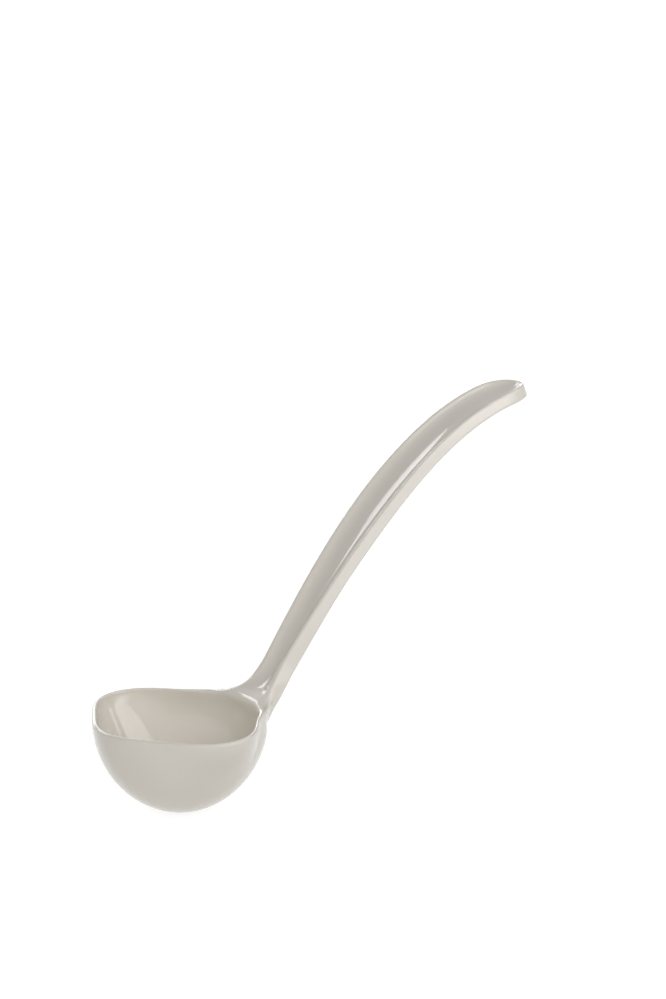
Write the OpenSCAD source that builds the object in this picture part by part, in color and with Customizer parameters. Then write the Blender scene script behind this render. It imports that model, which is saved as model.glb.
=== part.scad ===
// Sauce ladle, moulded in one piece: a round bowl with a rounded-square rim, and a
// handle with a trough along its top. Millimetres. The ladle is level at its rim:
// +X runs from the bowl to the handle, +Z is up, and Y = 0 is its plane of symmetry.

/* [Bowl] */
// Outside depth of the bowl, from its lowest point to its rim
bowl_depth = 32.8; // [26:0.1:42]
// Outside radius of the round belly under the rim
belly_r = 29.6; // [26:0.1:34]
// Radius of the small flat spot at the bottom, on which the bowl rests
foot_r = 4; // [2:0.1:6]
// Mean radius of the rim's outline
rim_r = 31; // [28:0.1:35]
// How far the rim's four rounded corners stand out from the mean radius
rim_corner = 2.4; // [0:0.1:3.5]
// How far the two pouring corners at the sides stand out beyond the others
rim_side = 0.6; // [0:0.1:2]
// How much the rim narrows towards the handle
rim_taper = 1.6; // [0:0.1:2.5]
// Depth below the rim at which its corners have mostly faded into the belly
corner_fade = 11; // [6:0.5:14]
// Depth below the rim at which the sides between the corners have mostly faded into it
side_fade = 4; // [3:0.5:9]
// Thickness of the lip
lip_t = 1.5; // [1:0.1:2.4]
// Rounding of the lip's edges
lip_round = 0.6; // [0.2:0.05:0.9]
// Thickness of the bowl's wall
wall_t = 2.2; // [1.6:0.1:3.2]
// Extra thickness of the rim where the handle leaves it
root_t = 6.8; // [3:0.1:8]

/* [Handle line] */
// How far inside the rim's outline the handle's line starts
root_in = 15.1; // [12:0.1:18]
// Length of the handle's line, from its start to the tip
handle_l = 165.9; // [120:0.1:220]
// Length over which the handle turns up from the rim
turn_l = 23.2; // [19:0.1:28]
// Steepest climb of the handle, in degrees
climb = 54.1; // [35:0.1:60]
// Climb that is left at the tip, in degrees
tip_climb = 1.6; // [0:0.1:20]
// How late along its length the handle levels out
arch = 3.4; // [2:0.1:4]

/* [Handle section] */
// Width at the narrow waist above the rim
waist_w = 10.2; // [8:0.1:14]
// Width of the grip
grip_w = 16.4; // [11:0.1:20]
// Distance along the line at which the grip has its full width
grip_start = 104; // [70:1:120]
// Extra width of the top at the start of the line, where the handle spreads into the rim
root_flare = 11.2; // [7:0.1:14]
// Distance along the line over which that extra width fades
flare_l = 25.3; // [20:0.1:30]
// Height below the line over which that extra width fades
flare_h = 6; // [4:0.1:9]
// Lean of the side walls, which stand further out towards the underside, in degrees
wall_lean = 17; // [5:0.5:20]
// Height of the side walls along the grip
grip_h = 4.3; // [4:0.1:8]
// Height of the side walls at the waist
waist_h = 5.2; // [4.6:0.1:9]
// Length over which the side walls lose that extra height
waist_fade = 64; // [45:1:90]
// Extra height at the start of the line, which carries the underside straight into the bowl
root_drop = 9.4; // [5:0.1:14]
// Depth of the trough along the grip
trough_d = 2.9; // [1.5:0.1:3.2]
// Width of the crest on each side of the trough
crest_w = 1.4; // [1:0.1:2.2]
// Rounding of the crest's outer edge
crest_round = 0.5; // [0.2:0.05:0.8]
// Rounding of the edges of the underside
base_round = 0.7; // [0.3:0.05:1.2]
// Length of the rounded end at the tip
tip_round = 13; // [8:0.5:20]

/* [Hidden] */

// Colour of the moulding, a warm light grey
shade = [0.86, 0.84, 0.80];
// Columns round the bowl, and rows up each side of its wall
bowl_cols = 72;
bowl_rows = 12;
// Rows round each rounded edge of the lip
edge_rows = 3;
// The lip's rounding, which leaves a little of the lip flat
edge_r = min(lip_round, 0.45 * lip_t);
// Angles under the rim at which the rounded lip starts and the flat spot ends
lip_angle = -asin(edge_r / bowl_depth);
foot_angle = -atan(bowl_depth / foot_r);
// Depth of the belly's ellipse, which the flat spot cuts off at bowl_depth
belly_depth = bowl_depth / sqrt(1 - pow(foot_r / belly_r, 2));
// Height of the bowl's cutting solid above its opening, clear of the handle's start
opening_rise = 6;
// Sections along the handle's turn, its grip and its tip
turn_rows = 16;
grip_rows = 32;
tip_rows = 9;
// How far the close sections of the turn run on past it
turn_over = 1.3;
// Last angle of the tip's rounding, just short of closing it to a line
tip_last = 87;
// Share of the handle's levelling out that is even along its length
even_part = 0.26;
// How slowly the handle starts to widen above its waist
widening = 1.2;
// Roundness of the tip's outline: 2 is an ellipse, more is squarer
tip_power = 2.2;
// Steps in which the handle's line is added up
line_steps = 220;
// Points across the trough, steps down each side wall and round each small edge of the section
trough_pts = 13;
wall_pts = 3;
round_pts = 3;
// Difference between the rim's and the belly's radius over which the one fade passes into the other
fade_band = 4;
// How sharply the root's extra thickness gathers towards the middle of the handle
root_power = 9;
// How sharply the root's extra width and extra height gather towards the start of the line
flare_power = 1.2;
drop_power = 2.2;
// Distance along the line where the trough starts to deepen and where it has its full depth
trough_start = 5;
trough_full = 60;
// Share of its full depth that the trough has before it starts to deepen
shallow = 0.15;
// Share of the crest's inner width that stays flat where the trough has closed
closed_share = 0.4;

function smooth(t) = let (u = min(1, max(0, t))) u * u * (3 - 2 * u);

// Rim outline: a circle with four rounded corners, wider at the sides, narrower at the handle
function rim(a) = rim_r - rim_side * cos(2 * a) + rim_taper * cos(3 * a) + rim_corner * cos(4 * a);
function rim_inside(a) = rim(a) - lip_t - root_t * pow(max(0, cos(a)), root_power);

// Distance from the rim's centre to a bowl's surface at an angle e up: an ellipse whose radius is the
// outline's at the rim and fades to the belly's further down
function bowl_reach(outline, belly, depth, e) =
    let (corner = smooth(0.5 + (outline - belly) / fade_band),
        fade = corner_fade * corner + side_fade * (1 - corner),
        r = belly + (outline - belly) * exp(-pow(depth * sin(e) / fade, 2)))
    1 / sqrt(pow(cos(e) / r, 2) + pow(sin(e) / depth, 2));
function bowl_point(reach, a, e) =
    [reach * cos(e) * cos(a), reach * cos(e) * sin(a), bowl_depth + reach * sin(e)];
function outer_point(a, e) = bowl_point(bowl_reach(rim(a), belly_r, belly_depth, e), a, e);
function inner_point(a, e) =
    bowl_point(bowl_reach(rim_inside(a), belly_r - wall_t, bowl_depth - wall_t, e), a, e);

function col_angle(j) = 360 * j / bowl_cols;
function ring_out(e) = [for (j = [0:bowl_cols - 1]) outer_point(col_angle(j), e)];
function ring_in(e) = [for (j = [0:bowl_cols - 1]) inner_point(col_angle(j), e)];
// A ring of the lip at a height z, a step into the wall from its outer or inner outline
function ring_lip(inside, step, z) = [for (j = [0:bowl_cols - 1])
    let (a = col_angle(j), r = inside ? rim_inside(a) + step : rim(a) - step) [r * cos(a), r * sin(a), z]];

foot_ring = [for (j = [0:bowl_cols - 1]) [foot_r * cos(col_angle(j)), foot_r * sin(col_angle(j)), 0]];
outer_rings = [for (k = [1:bowl_rows]) ring_out(foot_angle + (lip_angle - foot_angle) * k / bowl_rows)];
inner_rings = [for (k = [bowl_rows:-1:1]) ring_in(-90 + (90 + lip_angle) * k / bowl_rows)];
function edge_ring(inside, t) =
    ring_lip(inside, edge_r * (1 - cos(t)), bowl_depth - edge_r * (1 - sin(t)));
outer_edge = [for (k = [1:edge_rows]) edge_ring(false, 90 * k / edge_rows)];
inner_edge = [for (k = [edge_rows:-1:1]) edge_ring(true, 90 * k / edge_rows)];

function flatten(rings) = [for (ring = rings) for (p = ring) p];
function centre(ring) = [for (p = ring) 1] * ring / len(ring);

// Solid over rings of n points each: a flat face closes it below, and the point top closes it above
module ring_solid(rings, top) {
    n = len(rings[0]);
    rows = len(rings);
    skin = [for (k = [0:rows - 2]) for (j = [0:n - 1])
        let (a = k * n + j, b = k * n + (j + 1) % n) each [[a, b + n, b], [a, a + n, b + n]]];
    fan = [for (j = [0:n - 1]) [(rows - 1) * n + j, rows * n, (rows - 1) * n + (j + 1) % n]];
    polyhedron(concat(flatten(rings), [top]), concat([[for (j = [0:n - 1]) j]], skin, fan));
}

// The bowl filled up to its rim and, over its opening, a little higher
module filled_bowl() {
    rise = [0, 0, bowl_depth + opening_rise];
    ring_solid(concat([foot_ring], outer_rings, outer_edge,
        [ring_lip(true, edge_r, bowl_depth), ring_lip(true, edge_r, rise[2])]), rise);
}

// Climb of the handle's line in degrees, at a distance s along it
function line_climb(s) = let (t = s / handle_l)
    smooth(s / turn_l) * (climb - (climb - tip_climb) * (even_part * t + (1 - even_part) * pow(t, arch)));
// The line itself, added up in equal steps from the climb halfway along each
root_x = rim(0) - root_in;
line_step = handle_l / line_steps;
line_x = [for (k = 0, x = root_x; k <= line_steps;
    x = x + line_step * cos(line_climb((k + 0.5) * line_step)), k = k + 1) x];
line_z = [for (k = 0, z = bowl_depth; k <= line_steps;
    z = z + line_step * sin(line_climb((k + 0.5) * line_step)), k = k + 1) z];
function line_at(s) = let (k = s / line_step, i = min(line_steps - 1, floor(k)), f = k - i)
    [line_x[i] + f * (line_x[i + 1] - line_x[i]), line_z[i] + f * (line_z[i + 1] - line_z[i])];

// Half width of the handle's top before its tip is rounded, and height of its side walls
function flare(s) = root_flare / 2 * pow(1 - smooth(s / flare_l), flare_power);
function half_w(s) = let (t = min(1, max(0, (s - turn_l) / (grip_start - turn_l))))
    waist_w / 2 + (grip_w - waist_w) / 2 * pow(sin(90 * t), widening) + flare(s);
function side_h(s) = grip_h + (waist_h - grip_h) * (1 - smooth((s - turn_l) / (waist_fade - turn_l)))
    + root_drop * pow(max(0, 1 - s / turn_l), drop_power);
// How far the side walls stand out from the top's outline at a depth low under it
function wall_out(s, low) = tan(wall_lean) * low - flare(s) * smooth(low / flare_h);
// How far into a rounded end of length l that stops at stop, and the share of the width left there
function end_part(s, l, stop) = min(1, max(0, (s - stop + l) / l));
function end_share(s, l, stop) = pow(1 - pow(end_part(s, l, stop), tip_power), 1 / tip_power);
// Direction in which the top's outline faces: 0 is across the handle, 90 is along it
function facing(s) =
    let (part = end_part(s, tip_round, handle_l), left = end_share(s, tip_round, handle_l))
    atan(half_w(s) / tip_round * pow(part / left, tip_power - 1));

// Points across the trough and round a small edge, as angles
half_turn = [for (i = [0:trough_pts - 1]) 180 * i / (trough_pts - 1)];
quarter_turn = [for (i = [0:round_pts]) 90 * i / round_pts];
// Depth of the trough before its end is rounded
function depth_at(s) =
    trough_d * (shallow + (1 - shallow) * smooth((s - trough_start) / (trough_full - trough_start)));

// One section round from the underside to the trough: y across, n up from the line, and l along it,
// where the rounded end of the tip leans out
function section(s) =
    let (w = half_w(s) * end_share(s, tip_round, handle_l), h = side_h(s), f = facing(s),
        open = end_share(s, tip_round - crest_w, handle_l - crest_w), d = depth_at(s) * open,
        br = min(base_round, w / 3), cr = min(crest_round, w / 3),
        wi = max((half_w(s) - crest_w) * open, closed_share * (w - cr)),
        base = [for (t = quarter_turn) [br * (sin(t) - 1), br * (1 - cos(t)) - h]],
        wall = [for (i = [1:wall_pts]) [0, br - h + (h - br - cr) * i / (wall_pts + 1)]],
        crest = [for (t = quarter_turn) [cr * (cos(t) - 1), cr * (sin(t) - 1)]],
        side = [for (q = concat(base, wall, crest)) let (out = wall_out(s, -q[1]))
            [w + q[0] + out * cos(f), q[1], out * sin(f)]],
        trough = [for (t = half_turn) [wi * cos(t), -d * sin(t), 0]])
    concat(side, trough, [for (i = [len(side) - 1:-1:0]) [-side[i][0], side[i][1], side[i][2]]]);

// The section's points where they lie on the line
function place(s) = let (o = line_at(s), c = line_climb(s)) [for (q = section(s))
    [o[0] - q[1] * sin(c) + q[2] * cos(c), q[0], o[1] + q[1] * cos(c) + q[2] * sin(c)]];

// Distances of the sections: close together at the turn, then evenly, then closing in on the tip
turn_end = turn_over * turn_l;
grip_end = handle_l - tip_round;
stations = concat([for (k = [0:turn_rows]) turn_end * k / turn_rows],
    [for (k = [1:grip_rows]) turn_end + (grip_end - turn_end) * k / grip_rows],
    [for (k = [1:tip_rows]) grip_end + tip_round * sin(tip_last * k / tip_rows)]);

// The whole handle, with its start inside the bowl
module handle_blank() {
    rings = [for (s = stations) place(s)];
    ring_solid(rings, centre(rings[len(rings) - 1]));
}

module bowl() {
    color(shade) ring_solid(concat([foot_ring], outer_rings, outer_edge, inner_edge, inner_rings),
        [0, 0, wall_t]);
}

module handle() {
    color(shade) difference() {
        handle_blank();
        filled_bowl();
        cylinder(r = belly_r - wall_t, h = bowl_depth);
    }
}

bowl();
handle();
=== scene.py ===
"""Sauce ladle: one seamless moulded surface in place of the bowl and the handle, in a plain white studio."""
import math

import bpy
import numpy as np
from mathutils import Matrix


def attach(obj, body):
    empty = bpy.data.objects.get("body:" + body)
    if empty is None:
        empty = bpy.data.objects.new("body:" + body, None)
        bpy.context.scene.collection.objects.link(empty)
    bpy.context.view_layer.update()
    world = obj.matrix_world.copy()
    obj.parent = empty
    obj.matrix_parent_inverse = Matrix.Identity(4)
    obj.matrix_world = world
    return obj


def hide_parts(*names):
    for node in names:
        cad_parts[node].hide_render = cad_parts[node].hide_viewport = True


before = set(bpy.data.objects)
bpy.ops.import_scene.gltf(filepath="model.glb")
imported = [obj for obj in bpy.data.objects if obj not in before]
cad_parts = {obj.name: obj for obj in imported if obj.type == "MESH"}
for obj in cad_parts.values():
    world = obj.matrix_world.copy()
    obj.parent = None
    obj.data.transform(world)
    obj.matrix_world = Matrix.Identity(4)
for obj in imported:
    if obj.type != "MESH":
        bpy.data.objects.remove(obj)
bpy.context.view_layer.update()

MM = 0.001

# Bowl, in mm; the rim's plane is z = 0 while the shape is worked out
BOWL_DEPTH = 32.8
BELLY_R = 29.6
FOOT_R = 4.0
FOOT_EDGE = 0.3
RIM_R = 31.0
RIM_SIDE = 0.6
RIM_TAPER = 1.6
RIM_CORNER = 2.4
CORNER_FADE = 11.0
SIDE_FADE = 4.0
FADE_BAND = 4.0
WALL_T = 2.2
LIP_T = 1.5
LIP_THINNER = 0.5
LIP_EDGE = 0.7
LIP_OUTER_EDGE = 1.0

# Where the handle's root joins the bowl, in mm: how much thicker the lip is there, the soft inner edge over
# it, and the width of the blend between the two, with what it gains at the rim and further down
ROOT_T = 7.1
ROOT_POWER = 9
SADDLE_EDGE = 3.0
SADDLE_POWER = 8
SADDLE_LOW = 8.0
SADDLE_FADE = 5.0
BLEND = 1.5
BLEND_RIM = 2.0
BLEND_RIM_FADE = 3.0
BLEND_LOW = 1.5
BLEND_LOW_FADE = 6.0

# Handle's line and section, in mm and degrees
ROOT_X = 19.3
HANDLE_L = 165.9
TURN_L = 23.2
CLIMB = 54.1
EVEN_PART = 0.26
TIP_CLIMB = 1.6
ARCH = 3.4
WAIST_W = 10.2
GRIP_W = 16.4
GRIP_START = 104.0
WIDENING = 1.2
ROOT_FLARE = 11.2
FLARE_L = 25.3
FLARE_H = 6.0
FLARE_POWER = 1.2
DRAFT = math.tan(math.radians(17.0))
DRAFT_H = 9.0
GRIP_H = 4.3
WAIST_H = 5.2
WAIST_FADE = 64.0
ROOT_DROP = 9.4
DROP_POWER = 2.2
TROUGH_D = 2.9
TROUGH_LEAST = 0.01
TROUGH_START = 5.0
TROUGH_FULL = 60.0
SHALLOW = 0.6
SHALLOW_L = 14.0
HOLLOW_END = 16.0
HOLLOW_FADE = 14.0
CREST_W = 1.4
TIP_ROUND = 13.0
TIP_POWER = 2.2
CREST_EDGE = 0.6
CREST_SOFT = 2.2
SOFT_START = 6.0
SOFT_L = 16.0
TROUGH_EDGE = 0.9
BASE_EDGE = 0.9

# Rows of the grid, from the middle of the underside to the lip, round the lip, and in to the middle again
OUT_ROWS = 52
LIP_ROWS = 20
IN_ROWS = 40

# Columns of the grid: round the back of the bowl, along its side, over the join, along the handle and round
# its tip; the join starts at a turn from the bowl's side, in degrees, and ends on the handle's line, in mm
BACK_COLUMNS = 60
SIDE_COLUMNS = 48
JOIN_COLUMNS = 56
HANDLE_COLUMNS = 130
TIP_COLUMNS = 36
JOIN_TURN = 62.0
JOIN_SPREAD = 12.0
JOIN_START = 4.0
JOIN_L = 14.0

# Where the grid turns over an edge: depth of the point that it turns about, under the rim and under the
# crests, the turn over a crest in degrees, and the bowl's radius at that point, near enough
LIP_MIDDLE = 1.1
CREST_MIDDLE = 1.0
OVER_CREST = 135.0
RAY_R = 30.0


def smooth(t):
    """Smooth step from 0 to 1 for t from 0 to 1: three times its square less twice its cube."""
    t = np.clip(t, 0.0, 1.0)
    return t * t * (3.0 - 2.0 * t)


def smooth_max(a, b, k):
    """The larger of two fields, with the edge where they meet rounded over a width k: where they differ by
    less than k, the square of what is left of k, over four k, is added."""
    h = np.maximum(k - np.abs(a - b), 0.0)
    return np.maximum(a, b) + h * h / (4.0 * k)


def smooth_min(a, b, k):
    """The smaller of two fields, with the hollow where they meet rounded in the same way."""
    return -smooth_max(-a, -b, k)


def rim(a):
    """Rim's radius in the direction a from +X: a circle, less a cosine wave of twice a that makes it wider
    across, plus one of three times a that tapers it and one of four times a for its rounded corners."""
    return RIM_R - RIM_SIDE * np.cos(2 * a) + RIM_TAPER * np.cos(3 * a) + RIM_CORNER * np.cos(4 * a)


def rim_inside(a):
    """The rim's radius less the lip's thickness, which grows towards the handle as a power of the cosine, and
    is a little less on both sides of it."""
    near = np.maximum(np.cos(a), 0.0)
    return rim(a) - LIP_T - ROOT_T * near ** ROOT_POWER + LIP_THINNER * near * np.sin(2 * a) ** 2


def bowl_reach(outline, belly, depth, sin_e):
    """Distance from the rim's centre to a bowl's surface, for a sine of the angle below the rim: an ellipse
    of that depth, whose radius is the outline's at the rim and fades to the belly's further down along a bell
    curve, slowly at the corners and fast at the sides between them."""
    fade = SIDE_FADE + (CORNER_FADE - SIDE_FADE) * smooth(0.5 + (outline - belly) / FADE_BAND)
    r = belly + (outline - belly) * np.exp(-(depth * sin_e / fade) ** 2)
    return 1.0 / np.sqrt((1.0 - sin_e ** 2) / r ** 2 + (sin_e / depth) ** 2)


OUTER_DEPTH = BOWL_DEPTH / math.sqrt(1.0 - (FOOT_R / BELLY_R) ** 2)


def reach_out(a, sin_e):
    """Reach of the bowl's outside; its ellipse is a little deeper than the bowl, which is cut off flat at the
    foot's radius."""
    return bowl_reach(rim(a), BELLY_R, OUTER_DEPTH, sin_e)


def reach_in(a, sin_e):
    """Reach of the bowl's inside, a wall's thickness in from the outside's belly and foot."""
    return bowl_reach(rim_inside(a), BELLY_R - WALL_T, BOWL_DEPTH - WALL_T, sin_e)


def line_climb(s):
    """Climb of the handle's line, in radians: it comes up smoothly over the turn at the root, and then falls
    to the tip's, partly evenly and partly as a power of the distance."""
    t = np.clip(s / HANDLE_L, 0.0, 1.0)
    fall = EVEN_PART * t + (1 - EVEN_PART) * t ** ARCH
    return np.radians(smooth(s / TURN_L) * (CLIMB - (CLIMB - TIP_CLIMB) * fall))


# The handle's line stepped out finely, with some length to spare at both ends: distance along it, climb,
# x, z and curvature; the climb halfway through each step gives the way that it goes
LINE_BEFORE = 80.0
LINE_AFTER = 20.0
LINE_POINTS = 5321
LINE_S = np.linspace(-LINE_BEFORE, HANDLE_L + LINE_AFTER, LINE_POINTS)
STEP = LINE_S[1] - LINE_S[0]
LINE_C = line_climb(LINE_S)
MID_C = line_climb(LINE_S[:-1] + 0.5 * STEP)
LINE_X = np.concatenate([[0.0], np.cumsum(np.cos(MID_C)) * STEP])
LINE_X += ROOT_X - np.interp(0.0, LINE_S, LINE_X)
LINE_Z = np.concatenate([[0.0], np.cumsum(np.sin(MID_C)) * STEP])
LINE_Z -= np.interp(0.0, LINE_S, LINE_Z)
LINE_K = np.gradient(LINE_C, STEP)


def to_line(x, z):
    """Distance s along the handle's line and height n over it, by Newton steps to the nearest point."""
    s = np.interp(x, LINE_X, LINE_S)
    for _ in range(6):
        c = np.interp(s, LINE_S, LINE_C)
        dx = x - np.interp(s, LINE_S, LINE_X)
        dz = z - np.interp(s, LINE_S, LINE_Z)
        n = dz * np.cos(c) - dx * np.sin(c)
        s = s + (dx * np.cos(c) + dz * np.sin(c)) / np.clip(1.0 - np.interp(s, LINE_S, LINE_K) * n, 0.4, 3.0)
        s = np.clip(s, LINE_S[0], LINE_S[-1])
    return s, n


def from_line(s, y, n):
    """Point at a distance s along the handle's line, y across it and n at right angles over it."""
    c = np.interp(s, LINE_S, LINE_C)
    x = np.interp(s, LINE_S, LINE_X) - n * np.sin(c)
    z = np.interp(s, LINE_S, LINE_Z) + n * np.cos(c)
    return np.stack([x, y + 0.0 * x, z], axis=-1)


def root_flare(s):
    """What the root adds to the half width: a power of a smooth step down to nothing."""
    return ROOT_FLARE / 2 * (1 - smooth(s / FLARE_L)) ** FLARE_POWER


def half_w(s):
    """Half width of the handle's top: from the waist's to the grip's as a power of a quarter of a sine wave,
    plus the flare of the root."""
    t = np.clip((s - TURN_L) / (GRIP_START - TURN_L), 0.0, 1.0)
    return WAIST_W / 2 + (GRIP_W - WAIST_W) / 2 * np.sin(np.pi / 2 * t) ** WIDENING + root_flare(s)


def wall_out(s, n):
    """How far the walls stand out from the top's outline at a height n: the draft of the mould, less the
    flare of the root, which fades below the line."""
    low = np.clip(-n, 0.0, DRAFT_H)
    return DRAFT * low - root_flare(s) * smooth(low / FLARE_H)


def side_h(s):
    """Height of the handle's walls: the grip's, with a smooth step up to the waist's, and more at the root as
    a power of the way back through the turn."""
    return (GRIP_H + (WAIST_H - GRIP_H) * (1 - smooth((s - TURN_L) / (WAIST_FADE - TURN_L)))
            + ROOT_DROP * np.maximum(0.0, 1 - s / TURN_L) ** DROP_POWER)


def trough_d(s):
    """Depth of the trough: nothing at the root, then the sum of two smooth steps, a short one for its shallow
    start and a long one up to the grip."""
    start = SHALLOW * smooth((s - TROUGH_START) / SHALLOW_L)
    grow = (1 - SHALLOW) * smooth((s - TROUGH_START) / (TROUGH_FULL - TROUGH_START))
    return np.maximum(TROUGH_D * (start + grow), TROUGH_LEAST)


TIP_S = HANDLE_L - TIP_ROUND


def plan_share(s, y, out):
    """Where a point lies between the handle's middle, 0, and the top's outline moved out by out, 1. Round the
    tip the outline is half a superellipse: the powers of the shares along and across add up to one."""
    q = np.maximum(s - TIP_S, 0.0) / (TIP_ROUND + out)
    v = np.abs(y) / (half_w(s) + out)
    return (q ** TIP_POWER + v ** TIP_POWER) ** (1.0 / TIP_POWER)


def trough_field(s, y, n):
    """Roughly the distance outside the handle's top: under the lower half of an elliptic tube between the
    crests, closed at the tip, which flattens into a parabola's shallow hollow towards the root."""
    w, d = half_w(s) - CREST_W, trough_d(s)
    share = plan_share(s, y, -CREST_W)
    g = np.sqrt(share ** 2 + (n / d) ** 2)
    slope = np.hypot(share / w, n / d ** 2) / np.maximum(g, 1e-6)
    tube = smooth_max(n, (1.0 - g) / np.maximum(slope, 0.05), TROUGH_EDGE)
    hollow = n + d * np.clip(1.0 - share ** 2, 0.0, 1.0)
    return hollow + (tube - hollow) * smooth((s - HOLLOW_END) / HOLLOW_FADE)


def handle_field(s, y, n):
    """Roughly the distance outside the handle's solid, negative inside it: the largest of those outside its
    walls, its flat base, its top and the end of the line inside the bowl, with rounded edges."""
    out = wall_out(s, n)
    share = np.maximum(plan_share(s, y, out), 1e-6)
    rad = np.hypot(np.maximum(s - TIP_S, 0.0), y)
    side = rad - np.where(rad > 1e-6, rad / share, half_w(s) + out)
    walls = smooth_max(side, -side_h(s) - n, BASE_EDGE)
    crest = CREST_EDGE + CREST_SOFT * (1 - smooth((s - SOFT_START) / SOFT_L))
    return np.maximum(smooth_max(walls, trough_field(s, y, n), crest), -s)


def solid_field(p):
    """Roughly the distance outside the ladle: the filled bowl and the handle blended together, less the
    bowl's inside, with every edge rounded."""
    x, y, z = p[..., 0], p[..., 1], p[..., 2]
    low = np.minimum(z, 0.0)
    r = np.sqrt(x * x + y * y + low * low)
    sin_e = low / np.maximum(r, 1e-9)
    a = np.arctan2(y, x)
    outside = smooth_max(r - reach_out(a, sin_e), -z - BOWL_DEPTH, FOOT_EDGE)
    inside = r - reach_in(a, sin_e)
    s, n = to_line(x, z)
    blend = BLEND + BLEND_LOW * smooth(-z / BLEND_LOW_FADE) + BLEND_RIM * smooth(1.0 + z / BLEND_RIM_FADE)
    whole = smooth_min(smooth_max(outside, z, LIP_OUTER_EDGE), handle_field(s, y, n), blend)
    saddle = np.maximum(np.cos(a), 0.0) ** SADDLE_POWER * smooth((z + SADDLE_LOW) / SADDLE_FADE)
    edge = LIP_EDGE + (SADDLE_EDGE - LIP_EDGE) * saddle
    return smooth_max(whole, -inside, edge)


def rows():
    """v from the middle (0) to the lip (1), the angle round the lip (0 to 1) and the kind of each row."""
    out_v = np.linspace(0.0, 1.0, OUT_ROWS)
    lip_v = np.linspace(0.0, 1.0, LIP_ROWS + 2)[1:-1]
    in_v = np.linspace(1.0, 0.0, IN_ROWS)
    v = np.concatenate([out_v, np.ones(LIP_ROWS), in_v])
    turn = np.concatenate([np.zeros(OUT_ROWS), lip_v, np.ones(IN_ROWS)])
    kind = np.concatenate([np.zeros(OUT_ROWS), np.ones(LIP_ROWS), np.full(IN_ROWS, 2)]).astype(int)
    return v, turn, kind


V, TURN, KIND = rows()


def unit(d):
    """The same directions with a length of one."""
    return d / np.maximum(np.linalg.norm(d, axis=-1, keepdims=True), 1e-12)


def bowl_rays(theta, phi):
    """Middle of the bowl's wall and a direction from it to the surface, one column each for theta, a turn
    about the upright axis, and phi, a turn of the column's plane from there towards the handle. Down a column
    the ray from the rim's centre swings from straight down to just under the rim. The direction is along that
    ray for the outside, against it for the inside, and a half turn over the lip between them."""
    theta, phi = theta[:, None], phi[:, None]
    wide = RAY_R * np.maximum(np.cos(phi), 0.05)
    low = np.arcsin(np.clip(LIP_MIDDLE / wide, 0.0, 0.9))
    psi = np.pi / 2 + (low - np.pi / 2) * V[None, :]
    across = np.cos(phi) * np.cos(psi)
    d = np.stack([np.sin(phi) + across * np.cos(theta), across * np.sin(theta),
                  -np.cos(phi) * np.sin(psi)], axis=-1)
    d = unit(d)
    a = np.arctan2(d[..., 1], d[..., 0])
    mid = d * 0.5 * (reach_out(a, d[..., 2]) + reach_in(a, d[..., 2]))[..., None]
    flat = unit(d * [1.0, 1.0, 0.0] + [0.0, 1e-9, 0.0])
    turn = np.pi * TURN[None, :, None]
    fan = flat * np.cos(turn) + np.array([0.0, 0.0, 1.0]) * np.sin(turn)
    kind = KIND[None, :, None]
    return mid, np.where(kind == 0, d, np.where(kind == 1, fan, -d))


def handle_rays(s, beta):
    """The same for the handle, one column each for s along the line and beta, a turn about the tip's centre
    from across the handle (a quarter turn) to along it (none). A column runs under the top from the middle of
    the handle to its edge, rising as a parabola. The direction turns from down to out for the underside and
    the wall, over the crest, and back up for the trough."""
    s, beta = s[:, None], beta[:, None]
    limit = 1.0 / ((np.cos(beta) / TIP_ROUND) ** TIP_POWER
                   + (np.sin(beta) / half_w(s)) ** TIP_POWER) ** (1.0 / TIP_POWER)
    h = side_h(s)
    centre_n = -0.5 * (h + trough_d(s))
    rad = (limit - CREST_MIDDLE) * V[None, :]
    n = -CREST_MIDDLE + (centre_n + CREST_MIDDLE) * (1.0 - V[None, :] ** 2)
    at = s + rad * np.cos(beta)
    mid = from_line(at, rad * np.sin(beta), n)
    down = -np.pi / 2 * (1.0 - V[None, :])
    over = np.radians(OVER_CREST) * TURN[None, :]
    up = np.pi / 2 + np.radians(OVER_CREST - 90.0) * V[None, :]
    kind = KIND[None, :]
    angle = np.where(kind == 0, down, np.where(kind == 1, over, up))
    c = np.interp(at, LINE_S, LINE_C)
    ahead = np.cos(angle) * np.cos(beta)
    rise = np.sin(angle)
    d = np.stack([ahead * np.cos(c) - rise * np.sin(c), np.cos(angle) * np.sin(beta),
                  ahead * np.sin(c) + rise * np.cos(c)], axis=-1)
    return mid, unit(d)


def field_slope(p):
    """Slope of the field along x, y and z: the difference between two points close by on each side, over the
    distance between them."""
    e = 0.02
    return np.stack([solid_field(p + e * np.eye(3)[k]) - solid_field(p - e * np.eye(3)[k])
                     for k in range(3)], axis=-1) / (2 * e)


def settle(p):
    """Moves points that lie too near the surface further inside, against the field's slope and by what is
    missing to the least depth, in a few rounds; points on the plane y = 0 stay on it."""
    least, most, rounds = 0.55, 1.0, 4
    for _ in range(rounds):
        grad = field_slope(p)
        grad[..., 1] *= np.abs(p[..., 1]) > 1e-6
        push = np.clip(solid_field(p) + least, 0.0, most)
        p = p - unit(grad) * push[..., None]
    return p


def cast(start, d):
    """Points where rays from inside the solid leave it: a march to the first step outside, then halvings."""
    step, steps, halvings = 0.4, 60, 18
    t = np.zeros(start.shape[:-1])
    inside = np.ones_like(t, dtype=bool)
    for _ in range(steps):
        t = np.where(inside, t + step, t)
        inside &= solid_field(start + t[..., None] * d) < 0.0
        if not inside.any():
            break
    lo, hi = t - step, t
    for _ in range(halvings):
        half = 0.5 * (lo + hi)
        out = solid_field(start + half[..., None] * d) >= 0.0
        hi = np.where(out, half, hi)
        lo = np.where(out, lo, half)
    return start + hi[..., None] * d


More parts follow.
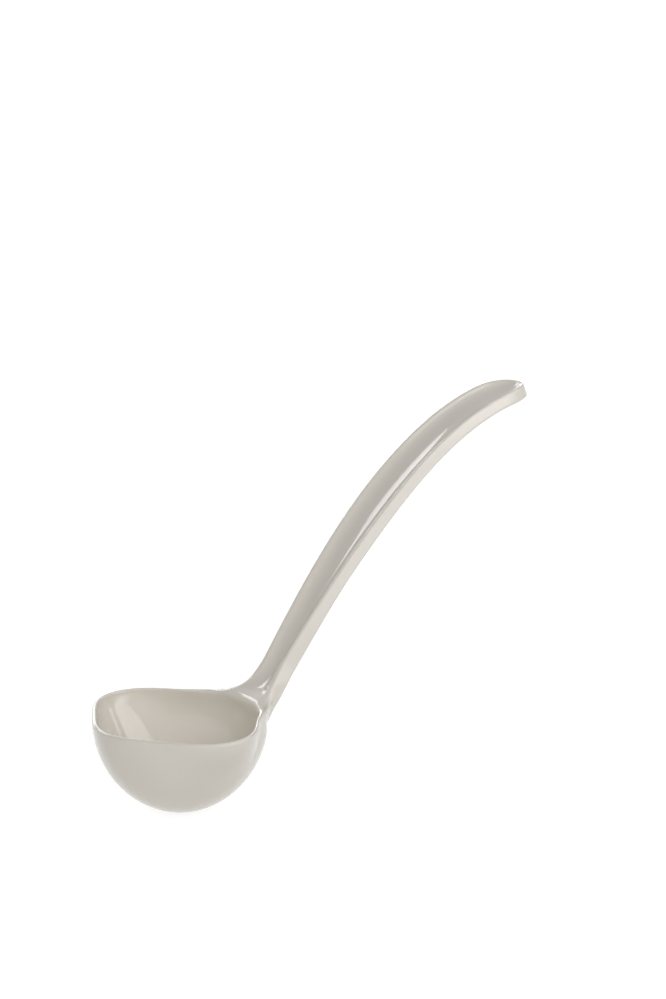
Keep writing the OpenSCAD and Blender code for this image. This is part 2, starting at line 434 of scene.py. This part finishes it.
def folded(p):
    """Points next to a face that leans more than 60 degrees away from the field's slope at its middle, and
    those within three steps of them; also how many such faces there are. A face's own direction is the cross
    product of its diagonals."""
    face = np.cross(p[1:, 1:] - p[:-1, :-1], p[:-1, 1:] - p[1:, :-1])
    size = np.linalg.norm(face, axis=-1)
    middle = 0.25 * (p[1:, 1:] + p[:-1, :-1] + p[:-1, 1:] + p[1:, :-1])
    lean = np.einsum("ijk,ijk->ij", unit(face), unit(field_slope(middle)))
    bad = (lean * np.sign(np.median(lean)) < np.cos(np.pi / 3)) & (size > 1e-3)
    near = np.zeros(p.shape[:2], dtype=bool)
    for i in range(2):
        for j in range(2):
            near[i:i + bad.shape[0], j:j + bad.shape[1]] |= bad
    for _ in range(3):
        wide = np.pad(near, 1)
        near = wide[1:-1, 1:-1] | wide[2:, 1:-1] | wide[:-2, 1:-1] | wide[1:-1, 2:] | wide[1:-1, :-2]
    return near, bad.sum()


def untangle(p):
    """Evens out the grid where its faces fold over: each point there goes most of the way to the mean of its
    four neighbours, counted over the plane y = 0 at the edges, and back to the surface by Newton steps."""
    flip = np.array([1.0, -1.0, 1.0])
    rounds, share, newton_steps = 24, 0.7, 3
    for _ in range(rounds):
        near, count = folded(p)
        if count == 0:
            break
        big = np.concatenate([p[1:2] * flip, p, p[-2:-1] * flip])
        big = np.concatenate([big[:, 1:2] * flip, big, big[:, -2:-1] * flip], axis=1)
        mean = 0.25 * (big[2:, 1:-1] + big[:-2, 1:-1] + big[1:-1, 2:] + big[1:-1, :-2])
        q = p[near] + share * (mean[near] - p[near])
        for _ in range(newton_steps):
            g = field_slope(q)
            q = q - g * (solid_field(q) / np.maximum((g * g).sum(axis=-1), 0.05))[..., None]
        p[near] = q
    return p


def half_grid():
    """Columns of points on the half y >= 0: round the back of the bowl and along its side, over the join,
    where the bowl's rays turn into the handle's by a smooth step, along the handle and round its tip."""
    back = np.linspace(np.pi, np.pi / 2, BACK_COLUMNS)
    side = np.linspace(0.0, np.radians(JOIN_TURN), SIDE_COLUMNS)[1:]
    mid_a, dir_a = bowl_rays(np.concatenate([back, np.full(side.size, np.pi / 2)]),
                             np.concatenate([np.zeros(back.size), side]))
    t = np.linspace(0.0, 1.0, JOIN_COLUMNS)[1:-1]
    mid_b, dir_b = bowl_rays(np.full(t.size, np.pi / 2), np.radians(JOIN_TURN + JOIN_SPREAD * t))
    mid_c, dir_c = handle_rays(JOIN_START + JOIN_L * t, np.full(t.size, np.pi / 2))
    w = smooth(t)[:, None, None]
    join_end = JOIN_START + JOIN_L
    s = join_end + (TIP_S - join_end) * np.linspace(0.0, 1.0, HANDLE_COLUMNS)
    beta = np.linspace(np.pi / 2, 0.0, TIP_COLUMNS)[1:]
    mid_d, dir_d = handle_rays(np.concatenate([s, np.full(beta.size, TIP_S)]),
                               np.concatenate([np.full(s.size, np.pi / 2), beta]))
    mid = np.concatenate([mid_a, (1 - w) * mid_b + w * mid_c, mid_d])
    d = np.concatenate([dir_a, unit((1 - w) * dir_b + w * dir_c), dir_d])
    mid = settle(mid)
    p = untangle(cast(mid, d))
    p[:, [0, -1], 1] = 0.0
    p[[0, -1], :, 1] = 0.0
    return p


def ladle_mesh(name):
    """The half grid and its mirror image, joined along the plane y = 0: points that round to the same place
    become one, and a quad that loses a corner by that becomes a triangle. Faces turn outward, which a sum of
    triple products shows, being six times the volume."""
    p = half_grid()
    cols, count, _ = p.shape
    k = np.arange(cols * count).reshape(cols, count)
    quads = np.stack([k[:-1, :-1], k[1:, :-1], k[1:, 1:], k[:-1, 1:]], axis=-1).reshape(-1, 4)
    both = np.concatenate([p.reshape(-1, 3), p.reshape(-1, 3) * [1.0, -1.0, 1.0]])
    quads = np.concatenate([quads, quads[:, ::-1] + cols * count])
    same_place = 1e-4
    keys = np.round(both / same_place).astype(np.int64)
    _, first, back = np.unique(keys, axis=0, return_index=True, return_inverse=True)
    verts = both[first]
    quads = back.reshape(-1)[quads]
    same = quads == np.roll(quads, -1, axis=1)
    full = quads[same.sum(axis=1) == 0]
    slim = quads[same.sum(axis=1) == 1]
    drop = same[same.sum(axis=1) == 1]
    tris = slim[~drop].reshape(-1, 3)
    tri_all = np.concatenate([full[:, [0, 1, 2]], full[:, [0, 2, 3]], tris])
    a, b, c = (verts[tri_all[:, i]] for i in range(3))
    if np.einsum("ij,ij->i", a, np.cross(b, c)).sum() < 0.0:
        full, tris = full[:, ::-1], tris[:, ::-1]
    verts = (verts + [0.0, 0.0, BOWL_DEPTH]) * MM
    mesh = bpy.data.meshes.new(name)
    mesh.from_pydata(verts.tolist(), [], full.tolist() + tris.tolist())
    mesh.polygons.foreach_set("use_smooth", np.ones(len(mesh.polygons), dtype=bool))
    mesh.update()
    return mesh


def linear(hex_colour):
    """An sRGB colour such as #DDD9D0 as linear RGBA."""
    v = [int(hex_colour[i:i + 2], 16) / 255 for i in (1, 3, 5)]
    return [c / 12.92 if c <= 0.04045 else ((c + 0.055) / 1.055) ** 2.4 for c in v] + [1.0]


def node(tree, kind, settings=None, links=None, **sockets):
    """Adds a shader node with its settings, its socket values and the sockets linked into it."""
    n = tree.nodes.new(kind)
    for key, value in (settings or {}).items():
        setattr(n, key, value)
    for key, value in sockets.items():
        n.inputs[key.replace("_", " ")].default_value = value
    for key, source in (links or {}).items():
        tree.links.new(source, n.inputs[key])
    return n


def new_material(name):
    """A material with an empty node tree, and that tree."""
    m = bpy.data.materials.new(name)
    m.use_nodes = True
    m.node_tree.nodes.clear()
    return m, m.node_tree


def moulded_plastic():
    """Glossy moulded melamine in a warm light grey, with the very slight waviness of a polished mould."""
    m, t = new_material("glossy_melamine")
    coords = node(t, "ShaderNodeTexCoord")
    wave = node(t, "ShaderNodeTexNoise", links={"Vector": coords.outputs["Object"]},
                Scale=45.0, Detail=1.0, Roughness=0.4)
    bump = node(t, "ShaderNodeBump", links={"Height": wave.outputs["Fac"]}, Strength=0.04, Distance=0.0004)
    cloud = node(t, "ShaderNodeTexNoise", links={"Vector": coords.outputs["Object"]}, Scale=25.0, Detail=2.0)
    tint = node(t, "ShaderNodeValToRGB", links={"Fac": cloud.outputs["Fac"]})
    tint.color_ramp.elements[0].color = linear("#E4DED4")
    tint.color_ramp.elements[1].color = linear("#E7E1D7")
    shader = node(t, "ShaderNodeBsdfPrincipled",
                  links={"Base Color": tint.outputs["Color"], "Normal": bump.outputs["Normal"]},
                  Roughness=0.09, IOR=1.6)
    node(t, "ShaderNodeOutputMaterial", links={"Surface": shader.outputs["BSDF"]})
    return m


ladle = bpy.data.objects.new("ladle_moulding", ladle_mesh("ladle_moulding"))
bpy.context.collection.objects.link(ladle)
ladle.data.materials.append(moulded_plastic())
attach(ladle, "root")
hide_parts("bowl", "handle")


def seen(t):
    """1 for the camera and for what a reflection or glass shows, 0 for light that falls on the ladle."""
    path = node(t, "ShaderNodeLightPath")
    mirrored = node(t, "ShaderNodeMath", {"operation": "MAXIMUM"},
                    {0: path.outputs["Is Glossy Ray"], 1: path.outputs["Is Transmission Ray"]})
    return node(t, "ShaderNodeMath", {"operation": "MAXIMUM"},
                {0: path.outputs["Is Camera Ray"], 1: mirrored.outputs[0]}).outputs[0]


def white_paper():
    """Light falls from it as from matt white paper. It is seen as plain white, near the ladle with a faint
    shadow, and from below it isn't seen."""
    m, t = new_material("white_paper")
    paper = node(t, "ShaderNodeBsdfDiffuse", Color=linear("#F4F4F2"))
    coords = node(t, "ShaderNodeTexCoord")
    away = node(t, "ShaderNodeVectorMath", {"operation": "LENGTH"}, {0: coords.outputs["Object"]})
    clean = node(t, "ShaderNodeMapRange", {"interpolation_type": "SMOOTHSTEP"},
                 {"Value": away.outputs["Value"]}, From_Min=0.12, From_Max=0.5, To_Min=0.88, To_Max=1.0)
    glow = node(t, "ShaderNodeEmission", links={"Strength": clean.outputs["Result"]})
    shadow = node(t, "ShaderNodeBsdfDiffuse", Color=linear("#8A8A8A"))
    shown = node(t, "ShaderNodeAddShader", links={0: glow.outputs[0], 1: shadow.outputs[0]})
    top = node(t, "ShaderNodeMixShader", links={0: seen(t), 1: paper.outputs[0], 2: shown.outputs[0]})
    clear = node(t, "ShaderNodeBsdfTransparent")
    side = node(t, "ShaderNodeNewGeometry")
    shader = node(t, "ShaderNodeMixShader",
                  links={0: side.outputs["Backfacing"], 1: top.outputs[0], 2: clear.outputs[0]})
    node(t, "ShaderNodeOutputMaterial", links={"Surface": shader.outputs[0]})
    return m


def floor():
    """A wide flat floor just under the ladle: one square, in metres."""
    reach, gap = 12.0, 0.0002
    x, y = np.meshgrid([-reach, reach], [-reach, reach])
    verts = np.stack([x, y, np.full(x.shape, -gap)], axis=-1).reshape(-1, 3)
    mesh = bpy.data.meshes.new("floor")
    mesh.from_pydata(verts.tolist(), [], [(0, 1, 3, 2)])
    mesh.materials.append(white_paper())
    o = bpy.data.objects.new("floor", mesh)
    bpy.context.collection.objects.link(o)


floor()


def soft_light(name, around, up_angle, distance, size, power, mirrored=True):
    """A rectangular softbox turned to the ladle. Its place is given in degrees round from +X and up, its
    distance and size in metres and its power in watts. One that isn't mirrored only fills in."""
    target = np.array([0.05, 0.0, 0.06])
    turn, rise = math.radians(around), math.radians(up_angle)
    back = np.array([math.cos(turn) * math.cos(rise), math.sin(turn) * math.cos(rise), math.sin(rise)])
    right = unit(np.cross([0.0, 0.0, 1.0], back))
    up = np.cross(back, right)
    place = target + distance * back
    data = bpy.data.lights.new(name, "AREA")
    data.shape = "RECTANGLE"
    data.size, data.size_y = size
    data.energy = power
    o = bpy.data.objects.new(name, data)
    bpy.context.collection.objects.link(o)
    o.matrix_world = Matrix([[right[i], up[i], back[i], place[i]] for i in range(3)] + [[0, 0, 0, 1]])
    o.visible_camera = False
    o.visible_glossy = mirrored


soft_light("box_right", -45.0, 33.0, 1.4, (1.5, 1.0), 7.4)
soft_light("box_front", -129.5, 33.0, 1.4, (1.2, 1.0), 9.0, mirrored=False)
soft_light("low_right", -70.0, 5.0, 1.4, (1.0, 0.6), 2.2)
soft_light("low_back", 95.5, 5.0, 1.4, (1.0, 0.8), 9.0, mirrored=False)
soft_light("fill_left", -178.0, 12.0, 1.4, (1.0, 0.8), 1.8, mirrored=False)
soft_light("window_back", 88.0, 34.0, 1.4, (0.62, 0.42), 2.6)
soft_light("backdrop_low", 66.0, 13.0, 1.4, (1.0, 0.35), 2.4)


def studio():
    """White all round where it is seen, and a dimmer, even light where it falls on the ladle."""
    world = bpy.data.worlds.new("studio")
    bpy.context.scene.world = world
    world.use_nodes = True
    t = world.node_tree
    t.nodes.clear()
    light = node(t, "ShaderNodeBackground", Color=linear("#FFFFFF"), Strength=0.02)
    white = node(t, "ShaderNodeBackground", Color=linear("#FFFFFF"), Strength=1.0)
    both = node(t, "ShaderNodeMixShader", links={0: seen(t), 1: light.outputs[0], 2: white.outputs[0]})
    node(t, "ShaderNodeOutputWorld", links={"Surface": both.outputs[0]})


studio()


def camera():
    """The photograph's camera, fitted to the ladle's outlines. Its focal length is in the photograph's pixels
    and its place in mm from the middle of the rim."""
    azimuth, elevation = math.radians(-39.48), math.radians(15.27)
    focal_px, photo_width_px = 3600.0, 666.0
    from_rim = np.array([-684.7, -911.415, 385.1])
    data = bpy.data.cameras.new("camera")
    data.sensor_fit = "HORIZONTAL"
    data.sensor_width = 36.0
    data.lens = data.sensor_width * focal_px / photo_width_px
    data.clip_start = 0.05
    data.clip_end = 60.0
    o = bpy.data.objects.new("camera", data)
    bpy.context.collection.objects.link(o)
    back = np.array([math.sin(azimuth) * math.cos(elevation), -math.cos(azimuth) * math.cos(elevation),
                     math.sin(elevation)])
    right = np.array([math.cos(azimuth), math.sin(azimuth), 0.0])
    up = np.cross(back, right)
    place = (from_rim + [0.0, 0.0, BOWL_DEPTH]) * MM
    o.matrix_world = Matrix([[right[i], up[i], back[i], place[i]] for i in range(3)] + [[0, 0, 0, 1]])
    bpy.context.scene.camera = o


camera()
bpy.context.scene.view_settings.view_transform = "Standard"
